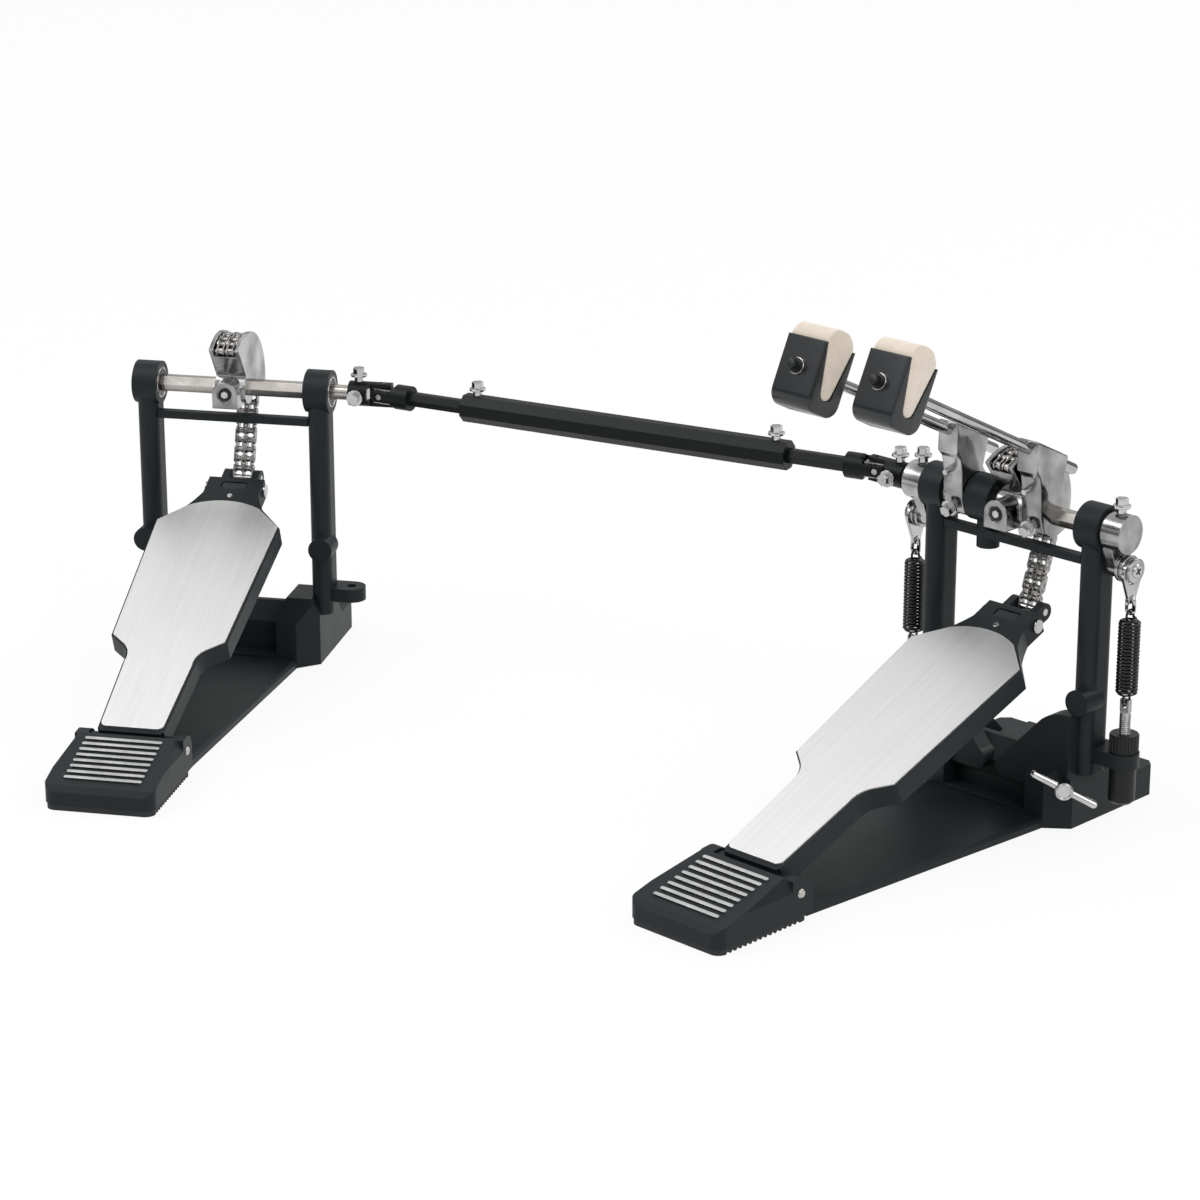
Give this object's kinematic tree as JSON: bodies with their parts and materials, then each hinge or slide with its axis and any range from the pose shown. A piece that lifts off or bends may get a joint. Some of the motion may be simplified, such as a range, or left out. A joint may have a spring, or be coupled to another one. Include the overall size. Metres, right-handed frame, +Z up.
{
  "type": "double bass drum pedal",
  "caption": "Double bass drum pedal: chain-drive footboards, felt beaters on a shared post frame, return springs, hoop clamp and a telescopic drive shaft with universal joints.",
  "frame": {"origin": "on the floor under the middle of the main pedal's axle", "axes": "+X along the main axle to the player's right, +Y towards the drum, +Z up"},
  "size_m": [0.7108, 0.49, 0.3158],
  "materials": {
    "black_coat": "satin",
    "brushed_plate": "brushed",
    "cast_silver": "satin",
    "chrome": "gloss",
    "steel": "satin",
    "black_steel": "satin",
    "rubber": "matte",
    "casing": "satin",
    "felt": "matte"
  },
  "bodies": {
    "main_frame": {"main_base_plate": "black_coat", "main_base_casting": "black_coat", "main_heel_plate": "black_coat", "main_heel_pad": "rubber", "main_heel_pin": "chrome", "main_post_frame": "black_coat", "main_bearings": "steel", "main_spring_tensioners": "steel"},
    "main_footboard": {"main_footboard": "black_coat", "main_footboard_plate": "brushed_plate", "main_toe_pins": "chrome"},
    "main_chain_run": {"main_chain_run": "steel"},
    "main_chain_bend": {"main_chain_bend": "steel"},
    "main_axle": {"main_axle": "chrome", "main_cam": "cast_silver", "main_chain_wrap": "steel", "main_beater_hub": "cast_silver", "main_rocker": "cast_silver", "main_axle_bolts": "chrome"},
    "main_beater": {"main_beater_rod": "chrome", "main_beater_casing": "casing", "main_beater_felt": "felt"},
    "main_spring": {"main_spring": "black_steel"},
    "main_spring_hanger": {"main_spring_hanger": "steel"},
    "clamp_jaw": {"hoop_clamp_jaw": "black_coat", "hoop_clamp_pad": "rubber"},
    "clamp_screw": {"hoop_clamp_screw": "chrome"},
    "left_beater_axle": {"left_beater_axle": "chrome", "right_joint_yoke": "black_coat", "left_beater_hub": "cast_silver", "left_rocker": "cast_silver", "left_beater_axle_bolts": "chrome"},
    "left_beater": {"left_beater_rod": "chrome", "left_beater_casing": "casing", "left_beater_felt": "felt"},
    "left_spring": {"left_spring": "black_steel"},
    "left_spring_hanger": {"left_spring_hanger": "steel"},
    "right_joint_cross": {"right_joint_cross": "steel"},
    "drive_shaft": {"drive_shaft_tube": "black_coat", "drive_shaft_right_rod": "black_coat", "drive_shaft_bolts": "chrome"},
    "drive_shaft_left": {"drive_shaft_left_rod": "black_coat"},
    "left_joint_cross": {"left_joint_cross": "steel"},
    "left_frame": {"left_base_plate": "black_coat", "left_base_casting": "black_coat", "left_heel_plate": "black_coat", "left_heel_pad": "rubber", "left_heel_pin": "chrome", "left_post_frame": "black_coat", "left_bearings": "steel"},
    "left_footboard": {"left_footboard": "black_coat", "left_footboard_plate": "brushed_plate", "left_toe_pins": "chrome"},
    "left_chain_run": {"left_chain_run": "steel"},
    "left_chain_bend": {"left_chain_bend": "steel"},
    "left_axle": {"left_axle": "chrome", "left_joint_yoke": "black_coat", "left_cam": "cast_silver", "left_chain_wrap": "steel", "left_axle_bolts": "chrome"}
  },
  "joints": [
    {"name": "main_axle_turn", "type": "hinge", "parent": "main_frame", "child": "main_axle", "pos_m": [0, 0, 0.186], "axis": [-1, 0, 0], "range_deg": [0, 52], "stiffness_Nm_per_rad": 0.8, "springref_deg": -57.3},
    {"name": "left_axle_turn", "type": "hinge", "parent": "left_frame", "child": "left_axle", "pos_m": [-0.53627, -0.15266, 0.186], "axis": [-0.8434, -0.5373, 0], "range_deg": [0, 52], "stiffness_Nm_per_rad": 0.8, "springref_deg": -57.3},
    {"name": "shaft_extension", "type": "slide", "parent": "main_frame", "child": "left_frame", "axis": [-0.9613, -0.2756, 0], "range_m": [-0.02, 0.06]},
    {"name": "main_beater_height", "type": "slide", "parent": "main_axle", "child": "main_beater", "axis": [0, -0.8965, 0.4431], "range_m": [-0.02, 0.012]},
    {"name": "left_beater_height", "type": "slide", "parent": "left_beater_axle", "child": "left_beater", "axis": [0, -0.9018, 0.4321], "range_m": [-0.02, 0.012]},
    {"name": "clamp_screw_turn", "type": "hinge", "parent": "main_frame", "child": "clamp_screw", "pos_m": [0.053, -0.017, 0.031], "axis": [0.6428, -0.766, 0], "range_deg": [0, 720]},
    {"name": "clamp_jaw_turn", "type": "hinge", "parent": "main_frame", "child": "clamp_jaw", "pos_m": [0, 0.016, 0.025], "axis": [-1, 0, 0], "range_deg": [0, 5.1]},
    {"name": "main_footboard_tilt", "type": "hinge", "parent": "main_frame", "child": "main_footboard", "pos_m": [0, -0.231, 0.018], "axis": [1, 0, 0], "range_deg": [-7.7, 0]},
    {"name": "main_chain_swing", "type": "hinge", "parent": "main_footboard", "child": "main_chain_run", "pos_m": [0, 0.01293, 0.11901], "axis": [1, 0, 0], "range_deg": [0, 20.1]},
    {"name": "main_chain_unwind", "type": "hinge", "parent": "main_axle", "child": "main_chain_bend", "pos_m": [0, 0.03066, 0.19821], "axis": [1, 0, 0], "range_deg": [0, 53.01]},
    {"name": "left_footboard_tilt", "type": "hinge", "parent": "left_frame", "child": "left_footboard", "pos_m": [-0.41216, -0.34748, 0.018], "axis": [0.8434, 0.5373, 0], "range_deg": [-7.7, 0]},
    {"name": "left_chain_swing", "type": "hinge", "parent": "left_footboard", "child": "left_chain_run", "pos_m": [-0.54322, -0.14175, 0.11901], "axis": [0.8434, 0.5373, 0], "range_deg": [0, 20.1]},
    {"name": "left_chain_unwind", "type": "hinge", "parent": "left_axle", "child": "left_chain_bend", "pos_m": [-0.55275, -0.1268, 0.19821], "axis": [0.8434, 0.5373, 0], "range_deg": [0, 53.01]},
    {"name": "left_beater_axle_turn", "type": "hinge", "parent": "main_frame", "child": "left_beater_axle", "pos_m": [-0.0227, 0, 0.186], "axis": [-1, 0, 0], "range_deg": [0, 52]},
    {"name": "drive_shaft_spin", "type": "hinge", "parent": "main_frame", "child": "drive_shaft", "pos_m": [-0.109, 0, 0.186], "axis": [-0.9613, -0.2756, 0], "range_deg": [0, 52]},
    {"name": "right_joint_nod", "type": "hinge", "parent": "left_beater_axle", "child": "right_joint_cross", "pos_m": [-0.109, 0, 0.186], "axis": [0, 0, 1], "range_deg": [-4.87, 0]},
    {"name": "left_joint_nod", "type": "hinge", "parent": "left_axle", "child": "left_joint_cross", "pos_m": [-0.45025, -0.09785, 0.186], "axis": [0, 0, 1], "range_deg": [0, 5.01]},
    {"name": "drive_shaft_left_slide", "type": "slide", "parent": "drive_shaft", "child": "drive_shaft_left", "axis": [-0.9613, -0.2756, 0], "range_m": [-0.02, 0.06]},
    {"name": "main_spring_swing", "type": "hinge", "parent": "main_frame", "child": "main_spring", "pos_m": [0.0813, 0.0035, 0.08], "axis": [1, 0, 0], "range_deg": [0, 12.35]},
    {"name": "main_spring_stretch", "type": "slide", "parent": "main_spring", "child": "main_spring_hanger", "axis": [0, 0, 1], "range_m": [0, 0.0079], "deforming": ["main_spring"]},
    {"name": "left_spring_swing", "type": "hinge", "parent": "main_frame", "child": "left_spring", "pos_m": [-0.0813, 0.0035, 0.08], "axis": [1, 0, 0], "range_deg": [0, 12.35]},
    {"name": "left_spring_stretch", "type": "slide", "parent": "left_spring", "child": "left_spring_hanger", "axis": [0, 0, 1], "range_m": [0, 0.0079], "deforming": ["left_spring"]}
  ],
  "couplings": [
    {"joint": "clamp_jaw_turn", "follows": "clamp_screw_turn", "ratio": 0.006944},
    {"joint": "main_footboard_tilt", "follows": "main_axle_turn", "ratio": -0.14104},
    {"joint": "main_chain_swing", "follows": "main_axle_turn", "ratio": 0.36821},
    {"joint": "main_chain_unwind", "follows": "main_axle_turn", "ratio": 0.97088},
    {"joint": "left_footboard_tilt", "follows": "left_axle_turn", "ratio": -0.14104},
    {"joint": "left_chain_swing", "follows": "left_axle_turn", "ratio": 0.36821},
    {"joint": "left_chain_unwind", "follows": "left_axle_turn", "ratio": 0.97088},
    {"joint": "left_beater_axle_turn", "follows": "left_axle_turn", "ratio": 1},
    {"joint": "drive_shaft_spin", "follows": "left_axle_turn", "ratio": 1},
    {"joint": "right_joint_nod", "follows": "left_axle_turn", "ratio": -0.089258},
    {"joint": "left_joint_nod", "follows": "left_axle_turn", "ratio": 0.091845},
    {"joint": "drive_shaft_left_slide", "follows": "shaft_extension", "ratio": 1},
    {"joint": "main_spring_swing", "follows": "main_axle_turn", "ratio": 0.22625},
    {"joint": "main_spring_stretch", "follows": "main_axle_turn", "m_per_rad": 0.008288},
    {"joint": "left_spring_swing", "follows": "left_axle_turn", "ratio": 0.22625},
    {"joint": "left_spring_stretch", "follows": "left_axle_turn", "m_per_rad": 0.008288}
  ]
}
